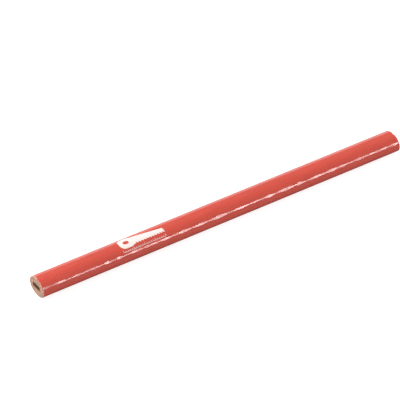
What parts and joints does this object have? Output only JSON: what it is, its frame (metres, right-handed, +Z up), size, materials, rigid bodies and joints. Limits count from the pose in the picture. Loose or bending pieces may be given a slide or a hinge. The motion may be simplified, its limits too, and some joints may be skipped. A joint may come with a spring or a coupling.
{
  "type": "carpenter pencil",
  "caption": "Flat oval carpenter pencil, unsharpened: flat graphite core glued into a wooden casing, red gloss lacquer over primer, white hot-foil saw sign and ruler ticks.",
  "frame": {"origin": "on the surface that the pencil lies on, under its middle", "axes": "+X along the pencil, away from the end with the print; +Y across its width; +Z up through its thickness, out of the printed wide side"},
  "size_m": [0.175, 0.011, 0.0082],
  "materials": {
    "casing_wood": "raw, sawn across the grain at the ends",
    "graphite": "dull, slightly porous",
    "wood_glue": "dried wood glue",
    "primer": "matt, soaked into the wood",
    "red_lacquer": "gloss",
    "white_foil": "semi-gloss hot foil"
  },
  "bodies": {
    "root": {"upper_slat": "casing_wood", "lower_slat": "casing_wood", "graphite_core": "graphite", "glue_film": "wood_glue", "primer_coat": "primer", "lacquer_coat": "red_lacquer", "foil_pictogram": "white_foil", "foil_rule": "white_foil"}
  },
  "joints": []
}
